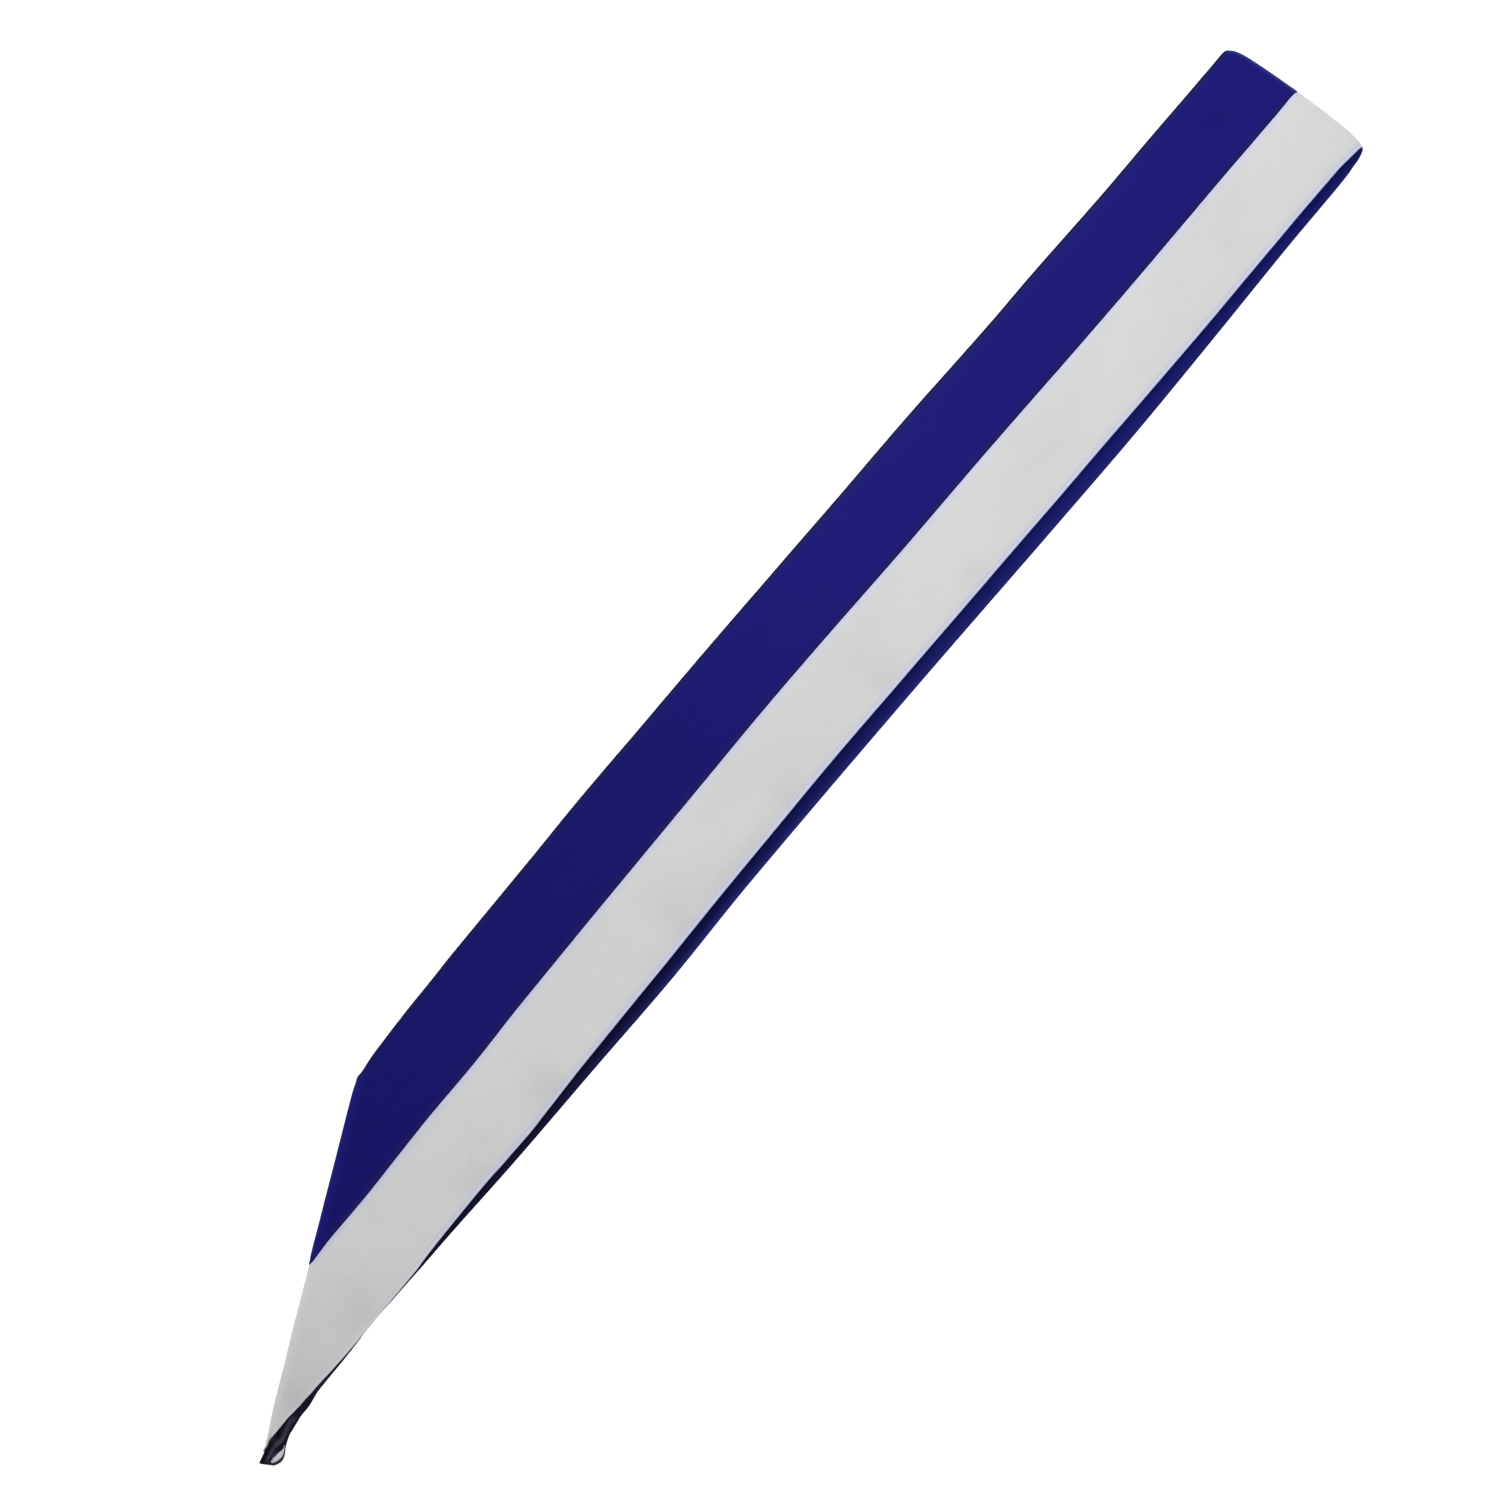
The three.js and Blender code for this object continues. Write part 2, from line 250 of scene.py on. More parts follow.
def front_slack(x, y, from_join, from_fold):
    """How the front layer rises and dips where it lies loose: a long wave, less the dents."""
    fade = ease(0, WAVE_FADE, from_join) * ease(0, WAVE_FADE, from_fold)
    wave = WAVE_HEIGHT * np.sin(2 * np.pi * (y + WAVE_SLANT * x) / WAVE_LENGTH)
    dents = 0
    for dent_x, dent_y, depth, reach in DENTS:
        dents = dents + depth * np.exp(-((x - dent_x) ** 2 + (y - dent_y) ** 2) / reach**2)
    half = WAVE_FADE / 2
    return wave * fade - dents * ease(0, half, from_fold) * ease(0, half, from_join)


def side_extra(across, y):
    left = -table_value(LEFT_EXTRA, y) * np.maximum(-across / WIDTH, 0) ** 2
    return left + table_value(RIGHT_EXTRA, y) * np.maximum(across / WIDTH, 0) ** 2


def seam_end(across, along):
    """How far the middle seam is pulled to the right where it ends at the join."""
    beside = np.exp(-((across / SEAM_END_WIDTH) ** 2))
    return SEAM_END_SHIFT * beside * (1 - ease(0, SEAM_END_LENGTH, along))


def front_layer(across, y):
    from_fold = np.maximum(fold_centre(across) - y, 0)
    from_join = np.maximum(y - join_centre(across), 0)
    x = across + table_value(FRONT_SEAM, y) + side_extra(across, y)
    opened = ease(-JOIN_RISE_REACH, JOIN_RISE_REACH, from_join) * 2 - 1
    rise = mix(2 * JOIN_RADIUS, table_value(FRONT_RISE, from_fold), opened)
    rise = rise + front_slack(x, y, from_join, from_fold)
    rise = rise + puckers(across, y) * ease(0, PUCKER_FADE, from_join)
    along = y - join_end(across)
    share = point_share(across, POINT_FRONT_FROM)
    up = share * table_value(POINT_FRONT_UP, along)
    aside = seam_end(across, along) - share * table_value(POINT_FRONT_IN, along)
    return np.stack([x + aside, y, FACE + rise + up], -1)


def back_layer(across, y):
    along = y - join_end(across)
    share = point_share(across, POINT_BACK_FROM)
    x = across + table_value(BACK_SEAM, y)
    outward = share * table_value(POINT_BACK_OUT, along)
    up = share * share * np.maximum(table_value(POINT_BACK_UP, along), 0)
    return np.stack([x + outward, y, FACE + up], -1)


def turn(start, end, reach, part):
    """From one layer to the other on a half circle."""
    angle = part * np.pi
    point = start + (end - start) * (0.5 - 0.5 * np.cos(angle))[..., None]
    point[..., 1] += reach * np.sin(angle)
    return point


def loop_point(across, place):
    """A point of the middle surface. place runs round the loop: 0 to 1 is the turn at the join,
    1 to 2 the front layer, 2 to 3 the shoulder fold and 3 to 4 the back layer."""
    across, place = np.broadcast_arrays(np.asarray(across, float), np.asarray(place, float))
    wrapped = np.mod(place, ROUND)
    section = np.floor(wrapped).astype(int)
    part = wrapped - section
    low, high = join_centre(across), fold_centre(across)
    front_low, front_high = front_layer(across, low), front_layer(across, high)
    back_low, back_high = back_layer(across, low), back_layer(across, high)
    join_turn = turn(back_low, front_low, -JOIN_RADIUS / JOIN_SINE, part)
    settled = np.sin(np.minimum(part / JOIN_SETTLES_AT, 1) * np.pi / 2)
    join_turn[..., 0] = mix(back_low[..., 0], front_low[..., 0], settled)
    choices = [
        join_turn,
        front_layer(across, mix(low, high, part)),
        turn(front_high, back_high, FOLD_RADIUS, part),
        back_layer(across, mix(high, low, part)),
    ]
    return np.choose(section[..., None], choices)


def unit(vectors):
    return vectors / np.linalg.norm(vectors, axis=-1, keepdims=True)


def point_and_normal(across, place):
    """A point of the middle surface and the normal of the band's outer face there."""
    along = unit(loop_point(across, place + PLACE_STEP) - loop_point(across, place - PLACE_STEP))
    sideways = loop_point(across + SIDE_STEP, place) - loop_point(across - SIDE_STEP, place)
    return loop_point(across, place), unit(np.cross(sideways, along))


# ---------------------------------------------------------------- the sections of the cloths
# How far a cloth's outer side lies from the middle surface at its edge, and how soon it is at FACE
EDGE_HEIGHT = 0.42
EDGE_SOFTNESS = 3.0
# How thick a cloth is, and the least thickness and distance from the middle surface near its edge
CLOTH = 0.42
LEAST_CLOTH = 0.2
LEAST_OFFSET = 0.03
# How far from the edges and the seam the stitches run, and the groove they press into the cloth
STITCH_LINE = 1.5
STITCH_GROOVE = 0.16
STITCH_GROOVE_WIDTH = 0.45
# The gap between the ribbons at the middle seam, and how their edges roll down into it
SEAM_HALF_GAP = 0.06
SEAM_ROLL = 0.4
SEAM_ROLL_REACH = 0.5
# Where the points of a section lie, from the edge or the seam: on the side that is seen, in the
# wide middle between two such rows of points, and on the side that lies on the other cloth
EDGE_STEPS = [0.25, 0.6, 1.0, 1.25, 1.5, 1.75, 2.0, 2.5, 3.2, 4.2, 5.6, 7.5]
RIBBON_WIDE_FROM = 10.5
RIBBON_WIDE_STEPS = 9
LINING_WIDE_FROM = 11
LINING_WIDE_STEPS = 6
HIDDEN_FROM_EDGE = [0.5, 3, 8]
RIBBON_HIDDEN_WIDE = 25
RIBBON_HIDDEN_FROM_SEAM = [8.0, 2.0, 0.3]
LINING_HIDDEN_WIDE = 20
# The rounded corners of a ribbon: how far in, and how far below its top
SEAM_CORNER = [(0.0, 0.28), (0.05, 0.12)]
EDGE_CORNER = [(0.08, 0.06), (0.0, 0.2)]
# Its lower corner and the lining's edge: how far in, and the offset from the middle surface
EDGE_FOOT = (0.08, 0.06)
LINING_EDGE = [(0.07, -0.33), (0.0, -0.2), (0.07, -0.06)]


def cloth_height(from_edge):
    """How far the outer side of a cloth lies from the middle surface."""
    return EDGE_HEIGHT + (FACE - EDGE_HEIGHT) * (1 - np.exp(-from_edge / EDGE_SOFTNESS))


def groove(distance):
    return STITCH_GROOVE * np.exp(-((distance / STITCH_GROOVE_WIDTH) ** 2))


def ribbon_height(from_edge, from_seam):
    height = cloth_height(from_edge) - groove(from_edge - STITCH_LINE)
    height = height - groove(from_seam - STITCH_LINE)
    return height - SEAM_ROLL * np.exp(-from_seam / SEAM_ROLL_REACH)


def ribbon_section(side):
    """The outline of one ribbon's section as (across, offset); side is -1 for blue, 1 for white."""
    span = WIDTH - SEAM_HALF_GAP
    wide = list(np.linspace(RIBBON_WIDE_FROM, span - RIBBON_WIDE_FROM, RIBBON_WIDE_STEPS))
    from_seam = np.array(EDGE_STEPS + wide + [span - d for d in reversed(EDGE_STEPS)])
    outer = ribbon_height(span - from_seam, from_seam)
    rows = [(at, outer[0] - drop) for at, drop in SEAM_CORNER]
    rows += list(zip(from_seam, outer))
    rows += [(span - at, outer[-1] - drop) for at, drop in EDGE_CORNER]
    rows.append((span - EDGE_FOOT[0], EDGE_FOOT[1]))
    from_edge = HIDDEN_FROM_EDGE + [RIBBON_HIDDEN_WIDE]
    under = np.array([span - d for d in from_edge] + RIBBON_HIDDEN_FROM_SEAM)
    lower = np.maximum(cloth_height(span - under) - CLOTH, LEAST_OFFSET)
    rows += list(zip(under, np.minimum(lower, cloth_height(span - under) - LEAST_CLOTH)))
    return [(side * (SEAM_HALF_GAP + a), h) for a, h in rows]


def lining_section():
    """The outline of the lining's section, from its left edge over its inner side and back."""
    half = EDGE_STEPS + list(np.linspace(LINING_WIDE_FROM, WIDTH, LINING_WIDE_STEPS))
    left = np.array([-WIDTH + d for d in half])
    columns = np.concatenate([left, -left[-2::-1]])
    from_edge = WIDTH - np.abs(columns)
    inner = -(cloth_height(from_edge) - groove(from_edge - STITCH_LINE))
    hidden = np.array(
        [-WIDTH + d for d in HIDDEN_FROM_EDGE]
        + [-LINING_HIDDEN_WIDE, LINING_HIDDEN_WIDE]
        + [WIDTH - d for d in reversed(HIDDEN_FROM_EDGE)]
    )
    outer = -np.maximum(cloth_height(WIDTH - np.abs(hidden)) - CLOTH, LEAST_OFFSET)
    rows = list(zip(columns, inner))
    rows += [(WIDTH - d, h) for d, h in LINING_EDGE]
    rows += list(zip(hidden[::-1], outer[::-1]))
    rows += [(-WIDTH + d, h) for d, h in reversed(LINING_EDGE)]
    return rows


# ---------------------------------------------------------------- meshes
# Rows of points in the turn at the join, the front layer, the shoulder fold and the back layer:
# how many, and how much they crowd towards the join
ROWS = [(22, 1.0), (400, 1.35), (44, 1.0), (330, 1.6)]
BACK_LAYER = 3


def loop_rows():
    places = []
    for section, (count, crowding) in enumerate(ROWS):
        even = np.arange(count) / count
        if section == BACK_LAYER:
            places.append(section + 1 - (1 - even) ** crowding)
        else:
            places.append(section + even**crowding)
    return np.concatenate(places)


def new_object(name, vertices, faces, body="root"):
    mesh = bpy.data.meshes.new(name)
    mesh.from_pydata(((vertices - MIDDLE) * MM).tolist(), [], [list(face) for face in faces])
    mesh.validate()
    mesh.update()
    mesh.polygons.foreach_set("use_smooth", [True] * len(mesh.polygons))
    made = bpy.data.objects.new(name, mesh)
    bpy.context.collection.objects.link(made)
    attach(made, body)
    return made


def store(made, name, values):
    stored = made.data.attributes.new(name, "FLOAT", "POINT")
    stored.data.foreach_set("value", values.reshape(-1).astype(np.float32))


def store_cloth(made, uv):
    """Keep the cloth's own coordinates of every face corner, in metres, as the UV map cloth."""
    layer = made.data.uv_layers.new(name="cloth")
    layer.data.foreach_set("uv", (uv.reshape(-1) * MM).astype(np.float32))


def walked(points):
    """How far along a line of points each of them lies."""
    return np.append(0, np.cumsum(np.linalg.norm(np.diff(points, axis=0), axis=1)))


def on_lining(line, above):
    """Points at a height above the lining's inner side, for places (across, round the loop)."""
    across, place = np.array(line).T
    point, normal = point_and_normal(across, place)
    return point - normal * (cloth_height(WIDTH - across) + above)[:, None]


def nearness(points, line, width):
    """One on a line of points, falling to nothing over a width beside it."""
    nearest = np.full(points.shape[:-1], np.inf)
    for start, end in zip(line[:-1], line[1:]):
        span = end - start
        part = np.clip(((points - start) @ span) / (span @ span), 0, 1)
        distance = np.linalg.norm(points - start - part[..., None] * span, axis=-1)
        nearest = np.minimum(nearest, distance)
    return np.exp(-((nearest / width) ** 2))


# The marks on the lining's inner side, where its offset is below INNER_SIDE
INNER_SIDE = -0.3
RIDGE_HEIGHT = 0.35
RIDGE_WIDTH = 0.9
CREASE_DEPTH = 0.18
CREASE_WIDTH = 0.7
# How far short of the tip the white ribbon's edge ends, over which places, and how steeply
TIP_CUT = 2.4
TIP_CUT_REACH = 0.016
TIP_CUT_POWER = 6


def painted_dent_shade(points, places):
    """How much darker the front layer is painted at each point, for the painted shade in its dents
    and soft folds.
    """
    x, y = points[..., 0], points[..., 1]
    shade = 0
    for at_x, at_y, darkness, wide, long in PAINTED_DENT_SHADES:
        shade = shade + darkness * np.exp(-(((x - at_x) / wide) ** 2) - ((y - at_y) / long) ** 2)
    return shade * ((places > 1) & (places < 2))


def pulled_back(across, place):
    """Where the columns of the white ribbon go: its edge ends short of the tip of the sash."""
    wrapped = np.mod(place, ROUND)
    beyond = np.where(wrapped < 2, np.maximum(wrapped - 1, 0), ROUND - wrapped)
    cut = TIP_CUT * (1 - ease(0, TIP_CUT_REACH, beyond))
    return across - cut * (across / WIDTH) ** TIP_CUT_POWER


def distance_round(across, places):
    """How far along the cloth each point lies from the shoulder fold's apex. Each row of the
    result ends with its first point again, one time round."""
    closed = np.append(places, float(ROUND))
    middle = loop_point(across[:, None], closed[None, :])
    length = np.linalg.norm(np.diff(middle, axis=1), axis=-1)
    along = np.concatenate([np.zeros((len(across), 1)), np.cumsum(length, axis=1)], axis=1)
    apex = np.array([np.interp(APEX, closed, row) for row in along])
    return along - apex[:, None]


def ring_faces(across, along):
    """The quads of a ring, and the cloth's own coordinates of their corners, in millimetres."""
    n, m = len(across), along.shape[1] - 1
    i, r = np.meshgrid(np.arange(n), np.arange(m), indexing="ij")
    i2, r2 = (i + 1) % n, (r + 1) % m
    quads = np.stack([i * m + r, i2 * m + r, i2 * m + r2, i * m + r2], -1).reshape(-1, 4)
    corners = [(i, r), (i2, r), (i2, r + 1), (i, r + 1)]
    uv = np.stack([np.stack([across[a], along[a, b]], -1) for a, b in corners], axis=-2)
    return quads, uv.reshape(-1, 4, 2)


def cloth_ring(name, section, marked=False, cut=False):
    """A closed ring of cloth: its section swept round the loop, with the cloth's own coordinates
    in the UV map cloth (across and along, in metres), its distance from the join in from_join and
    the painted shade of its dents and soft folds in shade. A marked one has the ridge and the
    crease of the open point, also in ridge and crease, where the lining gets its painted highlight
    and painted shade. A cut one ends short of the tip."""
    across, offset = np.array(section).T
    places = loop_rows()
    columns = pulled_back(across[:, None], places) if cut else across[:, None]
    points, normals = point_and_normal(columns, places[None, :])
    vertices = points + normals * offset[:, None, None]
    if marked:
        ridge = nearness(vertices, on_lining(TIP_RIDGE, 0), RIDGE_WIDTH)
        crease = nearness(vertices, on_lining(TIP_CREASE, 0), CREASE_WIDTH)
        inner = (offset < INNER_SIDE)[:, None]
        lift = (ridge * RIDGE_HEIGHT - crease * CREASE_DEPTH) * inner
        vertices = vertices - normals * lift[..., None]
    quads, uv = ring_faces(across, distance_round(across, places))
    flat = vertices.reshape(-1, 3)
    a, b, c, d = (flat[quads[:, k]] for k in range(4))
    volume = (a * np.cross(b, c)).sum() + (a * np.cross(c, d)).sum()
    if volume < 0:
        quads, uv = quads[:, ::-1], uv[:, ::-1]
    made = new_object(name, flat, quads)
    store_cloth(made, uv)
    from_join = (flat[:, 1] - join_end(np.repeat(across, len(places)))) * JOIN_SINE
    store(made, "from_join", from_join)
    # The painted shade of the dents and soft folds
    store(made, "shade", painted_dent_shade(vertices, places))
    if marked:
        store(made, "ridge", ridge)
        store(made, "crease", crease)
    return made


# The turned hem: how many stations along it and columns over it, its gap to the lining, how thick
# its sides are, and how it swells between them
HEM_STATIONS = 26
HEM_COLUMNS = 7
HEM_ABOVE = 0.06
HEM_SIDE = 0.1
HEM_SWELL = 0.5
# Where the hem's material takes it to lie: beyond the painted sheen of the hem at the join and far
# from the fold
HEM_FROM_JOIN = 20.0
HEM_ALONG = -490.0


def turned_hem(name):
    """The white edge that is turned over onto the lining in the open point: a closed sliver."""
    part = np.linspace(0, 1, HEM_STATIONS)
    sides = []
    for line in (TURNED_INSIDE, TURNED_OUTSIDE):
        at = walked(on_lining(line, 0))
        sides.append([np.interp(part * at[-1], at, column)[:, None] for column in np.array(line).T])
    columns = np.linspace(0, 1, HEM_COLUMNS)
    over = np.concatenate([columns, columns[-2:0:-1]])
    is_top = np.arange(len(over)) < HEM_COLUMNS
    swell = HEM_SWELL * np.sqrt(np.maximum(over * (1 - over), 0)) + HEM_SIDE
    across, place = (mix(inside, outside, over) for inside, outside in zip(*sides))
    point, normal = point_and_normal(across, place)
    above = cloth_height(WIDTH - across) + HEM_ABOVE + np.where(is_top, swell, 0)
    flat = (point - normal * above[..., None]).reshape(-1, 3)
    count = len(over)
    faces = [list(range(count))[::-1]]
    for row in range(HEM_STATIONS - 1):
        for k in range(count):
            a, b = row * count + k, row * count + (k + 1) % count
            faces.append([a, b, b + count, a + count])
    faces.append([(HEM_STATIONS - 1) * count + k for k in range(count)])
    corners = [flat[face] - flat[0] for face in faces]
    volume = sum(
        (c[0] * np.cross(c[i], c[i + 1])).sum() for c in corners for i in range(1, len(c) - 1)
    )
    if volume < 0:
        faces = [face[::-1] for face in faces]
    made = new_object(name, flat, faces)
    own = np.stack([across.reshape(-1), flat[:, 1] + HEM_ALONG], -1)
    store_cloth(made, np.concatenate([own[face] for face in faces]))
    store(made, "from_join", np.full(len(flat), HEM_FROM_JOIN))
    return made


# A stitch: its length, the distance to the next one, half its width and half its height in its
# middle, and how far that middle lies above the bottom of the groove
STITCH_LENGTH = 2.1
STITCH_PITCH = 2.9
STITCH_WIDTH = 0.15
STITCH_RISE = 0.10
STITCH_LIFT = 0.03
# The rings of points round a stitch: where along it, as a share of its length, and how wide
STITCH_RINGS = [(-0.3, 0.8), (0.0, 1.0), (0.3, 0.8)]
STITCH_SIDES = 5
# How many points round the loop a line of stitches is measured with
LINE_POINTS = 4000


def stitch_shape():
    """One stitch as points (along, sideways, up) and triangles, lying along the first axis."""
    points = [(-STITCH_LENGTH / 2, 0, 0)]
    for at, size in STITCH_RINGS:
        for k in range(STITCH_SIDES):
            angle = 2 * math.pi * k / STITCH_SIDES
            sideways = STITCH_WIDTH * size * math.cos(angle)
            points.append((at * STITCH_LENGTH, sideways, STITCH_RISE * size * math.sin(angle)))
    points.append((STITCH_LENGTH / 2, 0, 0))
    last = len(points) - 1
    faces = []
    for k in range(STITCH_SIDES):
        j = (k + 1) % STITCH_SIDES
        faces.append((0, 1 + j, 1 + k))
        for ring in range(len(STITCH_RINGS) - 1):
            a, b = 1 + ring * STITCH_SIDES + k, 1 + ring * STITCH_SIDES + j
            faces += [(a, b, b + STITCH_SIDES), (a, b + STITCH_SIDES, a + STITCH_SIDES)]
        top = 1 + (len(STITCH_RINGS) - 1) * STITCH_SIDES
        faces.append((top + k, top + j, last))
    return np.array(points), np.array(faces)


def spaced(points, pitch):
    """Where along a line of points the stitches go, as indices with fractions."""
    at_point = walked(points)
    count = int(at_point[-1] // pitch)
    at = (np.arange(count) + 0.5) * at_point[-1] / count
    return np.interp(at, at_point, np.arange(len(points)))


def round_line(across, offset, left_out=None):
    """The frames of the stitches on a line round the loop, at a place across the band and an
    offset from its middle surface, without those in a range of places that is left out."""
    place = np.linspace(0.0, ROUND, LINE_POINTS + 1)[:-1]
    index = np.arange(LINE_POINTS)
    at = spaced(loop_point(across, place), STITCH_PITCH)
    place = np.interp(at, index, place)
    centre, normal = point_and_normal(across, place)

    def beside(step):
        return loop_point(across, np.interp(at + step, index, np.interp(index, at, place)))

    along = unit(beside(0.5) - beside(-0.5))
    frames = centre + normal * offset, along, np.cross(normal, along), normal
    if left_out is None:
        return frames
    half = ROUND / 2
    shifted = np.mod(place + half, ROUND)
    kept = (shifted < left_out[0] - half) | (shifted > left_out[1] - half)
    return tuple(part[kept] for part in frames)


def stitches(name, lines):
    shape, faces = stitch_shape()
    centre, along, side, normal = (np.concatenate(part) for part in zip(*lines))
    vertices = (
        centre[:, None]
        + along[:, None] * shape[None, :, :1]
        + side[:, None] * shape[None, :, 1:2]
        + normal[:, None] * shape[None, :, 2:]
    )
    first = np.arange(len(centre))[:, None, None] * len(shape)
    return new_object(name, vertices.reshape(-1, 3), (faces[None] + first).reshape(-1, 3))


# ---------------------------------------------------------------- materials
class Nodes:
    """A short way to write a node material."""

    def __init__(self, name):
        self.material = bpy.data.materials.new(name)
        self.material.use_nodes = True
        self.tree = self.material.node_tree
        self.tree.nodes.clear()
        self.shader = self.add("ShaderNodeBsdfPrincipled")
        output = self.add("ShaderNodeOutputMaterial")
        self.link(self.shader.outputs["BSDF"], output.inputs["Surface"])

    def add(self, kind, **settings):
        node = self.tree.nodes.new(kind)
        for key, value in settings.items():
            setattr(node, key, value)
        return node

    def link(self, source, target):
        self.tree.links.new(source, target)

    def put(self, value, socket):
        if isinstance(value, bpy.types.NodeSocket):
            self.link(value, socket)
        elif value is not None:
            socket.default_value = value

    def fixed(self, **values):
        """Set the shader's own numbers, its sockets named with _ for a space."""
        for key, value in values.items():
            self.shader.inputs[key.replace("_", " ")].default_value = value

    def attribute(self, name):
        return self.add("ShaderNodeAttribute", attribute_name=name).outputs["Fac"]

    def math(self, operation, a, b=None):
        node = self.add("ShaderNodeMath", operation=operation)
        for value, socket in zip((a, b), node.inputs):
            self.put(value, socket)
        return node.outputs[0]

    def times(self, a, b):
        return self.math("MULTIPLY", a, b)

    def plus(self, a, b):
        return self.math("ADD", a, b)

    def map(self, value, low, high, to_low=0.0, to_high=1.0):
        node = self.add("ShaderNodeMapRange", interpolation_type="SMOOTHSTEP")
        for v, key in zip(
            (value, low, high, to_low, to_high),
            ("Value", "From Min", "From Max", "To Min", "To Max"),
        ):
            self.put(v, node.inputs[key])
        return node.outputs["Result"]

    def noise(self, vector, scale, detail, roughness=0.5):
        node = self.add("ShaderNodeTexNoise")
        self.put(vector, node.inputs["Vector"])
        self.put(scale, node.inputs["Scale"])
        self.put(detail, node.inputs["Detail"])
        self.put(roughness, node.inputs["Roughness"])
        return node.outputs["Fac"]

    def stretch(self, vector, scale):
        node = self.add("ShaderNodeVectorMath", operation="MULTIPLY")
        self.put(vector, node.inputs[0])
        self.put(scale, node.inputs[1])
        return node.outputs[0]

    def cloth_noise(self, vector, across, along, detail, roughness):
        """Noise on the cloth, by how many times it changes in a millimetre each way."""
        return self.noise(self.stretch(vector, (across, along, 1.0)), 1.0, detail, roughness)

    def scaled(self, colour, factor):
        return self.stretch(colour, (factor, factor, factor))

    def blend(self, factor, a, b):
        node = self.add("ShaderNodeMix", data_type="RGBA")
        self.put(factor, node.inputs["Factor"])
        self.put(a, node.inputs["A"])
        self.put(b, node.inputs["B"])
        return node.outputs["Result"]

    def bump(self, height, strength, distance, normal=None):
        node = self.add("ShaderNodeBump")
        self.put(height, node.inputs["Height"])
        self.put(strength, node.inputs["Strength"])
        self.put(distance, node.inputs["Distance"])
        self.put(normal, node.inputs["Normal"])
        return node.outputs["Normal"]


def rgba(red, green, blue):
    return (red, green, blue, 1.0)


def cloth_coordinates(nodes):
    """The cloth's own coordinates in millimetres: the vector, across and along."""
    uv = nodes.add("ShaderNodeUVMap", uv_map="cloth")
    vector = nodes.stretch(uv.outputs["UV"], (1 / MM, 1 / MM, 1.0))
    split = nodes.add("ShaderNodeSeparateXYZ")
    nodes.link(vector, split.inputs[0])
    return vector, split.outputs["X"], split.outputs["Y"]


# Noises on the cloth: how many times they change in a millimetre across and along, their detail
# and their roughness
BLOTCHES = (0.02, 0.011, 4.0, 0.55)
STREAKS = (1.1, 0.012, 3.0, 0.6)
RUBS = (0.7, 0.16, 4.0, 0.65)
SOFT_CREASES = (0.09, 0.05, 3.0, 0.5)
POINT_STREAKS = (0.75, 0.05, 2.0, 0.5)
FUZZ = (3.0, 0.6, 2.0, 0.5)
# The weave: how wide a float is and how far apart its bindings are, how these are slanted, and
# how much each adds to the height
FLOAT_WIDTH = 0.34
BINDING_PITCH = 0.42
BINDING_SLANT = 0.6
FLOAT_HEIGHT = 0.35
BINDING_HEIGHT = 0.3


def weave(nodes, vector, across, along):
    """The height of a satin weave: floats along the band, bound down in slanted steps."""
    floats = nodes.math("SINE", nodes.times(across, 2 * math.pi / FLOAT_WIDTH))
    slant = nodes.plus(along, nodes.times(across, BINDING_SLANT))
    bindings = nodes.math("SINE", nodes.times(slant, 2 * math.pi / BINDING_PITCH))
    threads = nodes.plus(nodes.times(floats, FLOAT_HEIGHT), nodes.times(bindings, BINDING_HEIGHT))
    return nodes.plus(threads, nodes.cloth_noise(vector, *FUZZ))


# The shares of the blotches and the streaks in the mottling, and its range
BLOTCH_SHARE = 0.65
STREAK_SHARE = 0.35
MOTTLE_RANGE = (0.36, 0.64)
# How much darker the painted shade makes the cloth in a dent and towards the tip
PAINTED_DENT_DARKER = 0.9
PAINTED_TIP_DARKER = 0.88
# A range is given as the value at its two ends, and may be followed by what it gives there.
# By the distance from the outer edge, the middle seam or the join
RIM_RANGE = (4.4, 0.8)
TINT_RANGE = (4.6, 0.6)
WORN_RANGE = (0.9, 0.0)
# The painted sheen on the rolled hem at the join
PAINTED_JOIN_SHEEN_RANGE = (7.2, 4.4, 0.0, 0.5)
# By the noise of the rubs
RUB_RANGE = (0.5, 0.66, 0.0, 0.8)
# By the distance from the shoulder fold, round the loop
TIP_RANGE = (870.0, 965.0)
SEAM_TINT_RANGE = (870.0, 965.0, 0.95, 0.4)
EDGE_TINT_RANGE = (790.0, 870.0, 0.95, 0.25)
# The painted shade that darkens the lining far from the fold
PAINTED_DUSK_RANGE = (590.0, 780.0)
# The open point's own colours: by the distance from the join, by the noise of its streaks, and
# how strong the painted highlight on the ridge and the painted shade in the crease are
POINT_RANGE = (44.0, 22.0, 0.0, 0.95)
POINT_STREAK_RANGE = (0.38, 0.6)
POINT_MARK_SHARE = 0.85
# Gloss and bump: the range of the streaks, how they and the wear change the roughness, and the
# strength and the height of each bump
GLOSS_RANGE = (0.3, 0.7)
SMOOTHER = 0.05
ROUGHER = 0.06
WORN_ROUGHER = 0.12
CREASE_BUMP = (0.35, 0.0012)
WEAVE_BUMP = (0.45, 0.00004)


def open_point(nodes, vector, base, from_fold, from_join, painted_dusk, grey, dark, ridge, crease):
    """The lining towards the join: painted shade makes it nearly black far from the fold, and in
    the open point it is greyer and streaked, with a painted highlight on its ridge and painted
    shade in its crease."""
    base = nodes.blend(nodes.map(from_fold, *PAINTED_DUSK_RANGE), base, painted_dusk)
    streak = nodes.cloth_noise(vector, *POINT_STREAKS)
    streaked = nodes.blend(nodes.map(streak, *POINT_STREAK_RANGE), dark, grey)
    base = nodes.blend(nodes.map(from_join, *POINT_RANGE), base, streaked)
    # Painted highlight on the ridge and painted shade in the crease
    for name, colour in (("ridge", ridge), ("crease", crease)):
        mark = nodes.times(nodes.attribute(name), POINT_MARK_SHARE)
        base = nodes.blend(mark, base, colour)
    return base


